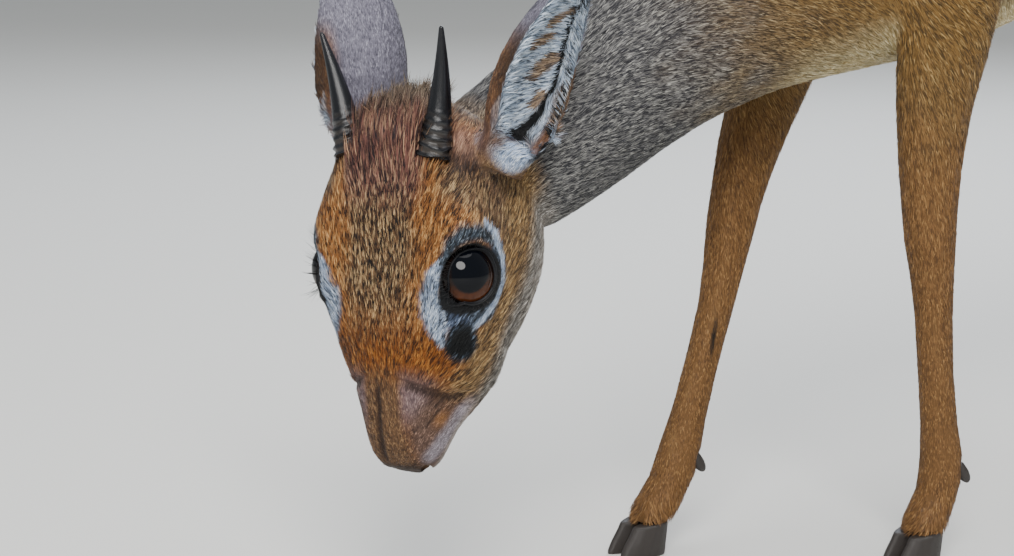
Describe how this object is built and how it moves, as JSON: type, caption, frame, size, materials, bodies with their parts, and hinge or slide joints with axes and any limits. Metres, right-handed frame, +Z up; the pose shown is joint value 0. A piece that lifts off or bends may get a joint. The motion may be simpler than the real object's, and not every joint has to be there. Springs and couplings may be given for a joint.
{
  "type": "dik dik figure",
  "caption": "Life-size still model of a small antelope buck, standing with its head lowered to browse, with short ringed horns and cupped ears.",
  "frame": {"origin": "middle of the footprint box, on the floor", "axes": "-X is the way the animal faces, -Y is its left side, +Z is up; +X is the longest extent"},
  "size_m": [0.5838, 0.124, 0.3715],
  "materials": {
    "coat": "short flat hair",
    "eye": "wet, glossy",
    "horn": "smooth keratin, satin to glossy",
    "hoof": "dull keratin"
  },
  "bodies": {
    "root": {"head": "coat", "muzzle": "coat", "lower_jaw": "coat", "neck_upper": "coat", "neck_lower": "coat", "chest": "coat", "barrel": "coat", "rump": "coat", "tail": "coat", "left_fore_forearm": "coat", "left_fore_cannon": "coat", "left_fore_pastern": "coat", "left_hind_gaskin": "coat", "left_hind_cannon": "coat", "left_hind_pastern": "coat", "right_fore_forearm": "coat", "right_fore_cannon": "coat", "right_fore_pastern": "coat", "right_hind_gaskin": "coat", "right_hind_cannon": "coat", "right_hind_pastern": "coat", "left_ear": "coat", "right_ear": "coat", "left_eye": "eye", "right_eye": "eye", "left_horn": "horn", "right_horn": "horn", "left_fore_claw_outer": "hoof", "left_fore_claw_inner": "hoof", "left_fore_dewclaw_outer": "hoof", "left_fore_dewclaw_inner": "hoof", "left_hind_claw_outer": "hoof", "left_hind_claw_inner": "hoof", "left_hind_dewclaw_outer": "hoof", "left_hind_dewclaw_inner": "hoof", "right_fore_claw_outer": "hoof", "right_fore_claw_inner": "hoof", "right_fore_dewclaw_outer": "hoof", "right_fore_dewclaw_inner": "hoof", "right_hind_claw_outer": "hoof", "right_hind_claw_inner": "hoof", "right_hind_dewclaw_outer": "hoof", "right_hind_dewclaw_inner": "hoof"}
  },
  "joints": []
}
